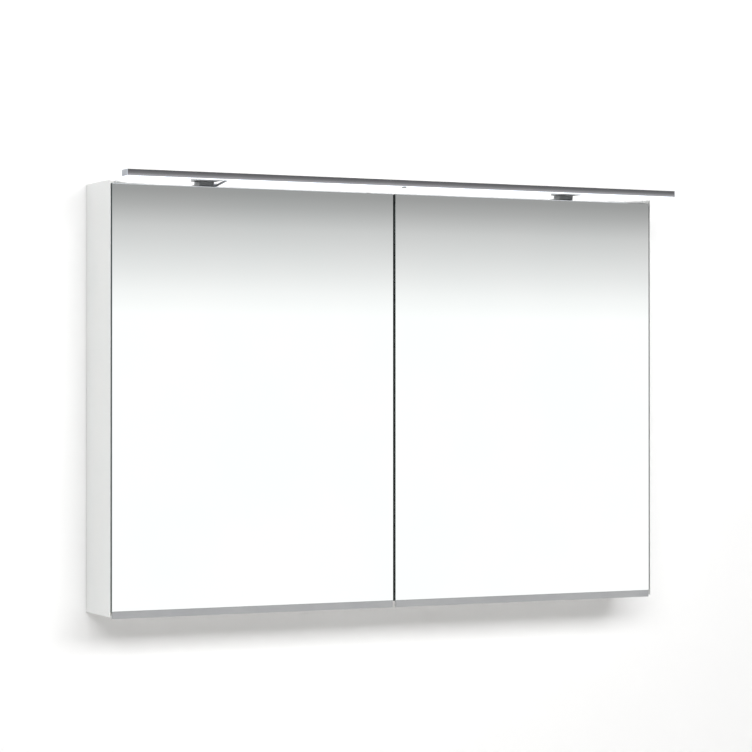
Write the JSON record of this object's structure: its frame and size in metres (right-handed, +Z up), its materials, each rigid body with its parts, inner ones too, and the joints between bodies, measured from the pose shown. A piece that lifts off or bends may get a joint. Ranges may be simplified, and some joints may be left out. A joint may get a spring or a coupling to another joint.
{
  "type": "medicine cabinet with mirror",
  "caption": "Wall-hung mirror cabinet with paired pivoting doors, glass shelves and a slim light bar on brackets above.",
  "frame": {"origin": "on the wall plane, at the middle of the wall rail screw pattern", "axes": "+X to the right seen from the room, +Y into the wall, +Z up"},
  "size_m": [1.002, 0.1906, 0.7033],
  "materials": {
    "white_board": "satin white melamine",
    "black_board": "matt black through-dyed board",
    "white_lacquer": "satin white lacquer",
    "mirror_glass": "silvered float glass",
    "clear_glass": "polished edges",
    "satin_aluminium": "satin anodised",
    "polished_aluminium": "titanium-grey anodised",
    "grey_plastic": "moulded",
    "opal_plastic": "opal",
    "led_phosphor": "cast",
    "dark_plastic": "smooth",
    "bracket_metal": "satin",
    "dark_metal": "satin",
    "zinc_steel": "zinc plated",
    "nylon": "moulded",
    "clear_rubber": "smooth",
    "driver_case": "moulded",
    "white_plastic": "moulded",
    "brass": "turned"
  },
  "bodies": {
    "cabinet": {"back_panel": "white_board", "bottom_panel": "white_board", "bracket_arms": "bracket_metal", "bracket_feet": "dark_metal", "bracket_screws": "zinc_steel", "cabinet_hangers": "zinc_steel", "cable_clip": "grey_plastic", "cable_gland": "grey_plastic", "carcass_screws": "zinc_steel", "centre_divider": "white_board", "fixed_leads": "grey_plastic", "glass_shelf_lower_left": "clear_glass", "glass_shelf_lower_right": "clear_glass", "glass_shelf_upper_left": "clear_glass", "glass_shelf_upper_right": "clear_glass", "height_screws": "zinc_steel", "hinge_leaves_bottom": "white_lacquer", "hinge_leaves_top": "white_lacquer", "hinge_pins": "zinc_steel", "hinge_screws": "zinc_steel", "led_board": "satin_aluminium", "led_chips": "led_phosphor", "led_driver": "driver_case", "light_bar_end_caps": "grey_plastic", "light_bar_profile": "polished_aluminium", "light_cable": "grey_plastic", "light_diffuser": "opal_plastic", "magnetic_catches": "grey_plastic", "presence_sensor": "dark_plastic", "shelf_pins": "zinc_steel", "side_board_left": "white_board", "side_board_right": "white_board", "side_cover_left": "white_lacquer", "side_cover_right": "white_lacquer", "socket_contacts": "brass", "socket_cup": "white_plastic", "switch_box": "white_plastic", "switch_plate": "white_plastic", "terminal_box": "grey_plastic", "terminal_cover": "grey_plastic", "thrust_washers": "zinc_steel", "top_panel": "white_board", "wall_rail": "zinc_steel"},
    "left_door": {"door_bumpers_left": "clear_rubber", "door_core_left": "black_board", "grip_rail_left": "satin_aluminium", "mirror_front_left": "mirror_glass", "mirror_inner_left": "mirror_glass", "pivot_bushes_left": "nylon", "strike_plate_left": "zinc_steel"},
    "right_door": {"door_bumpers_right": "clear_rubber", "door_core_right": "black_board", "grip_rail_right": "satin_aluminium", "mirror_front_right": "mirror_glass", "mirror_inner_right": "mirror_glass", "pivot_bushes_right": "nylon", "strike_plate_right": "zinc_steel"},
    "rocker": {"switch_rocker": "white_plastic"}
  },
  "joints": [
    {"name": "left_door_hinge", "type": "hinge", "parent": "cabinet", "child": "left_door", "pos_m": [-0.4874, -0.1057, -0.274], "axis": [0, 0, -1], "range_deg": [0, 105]},
    {"name": "right_door_hinge", "type": "hinge", "parent": "cabinet", "child": "right_door", "pos_m": [0.4874, -0.1057, -0.274], "axis": [0, 0, 1], "range_deg": [0, 105]},
    {"name": "rocker_pivot", "type": "hinge", "parent": "cabinet", "child": "rocker", "pos_m": [0.4042, -0.0545, -0.5679], "axis": [-1, 0, 0], "range_deg": [0, 14]}
  ]
}
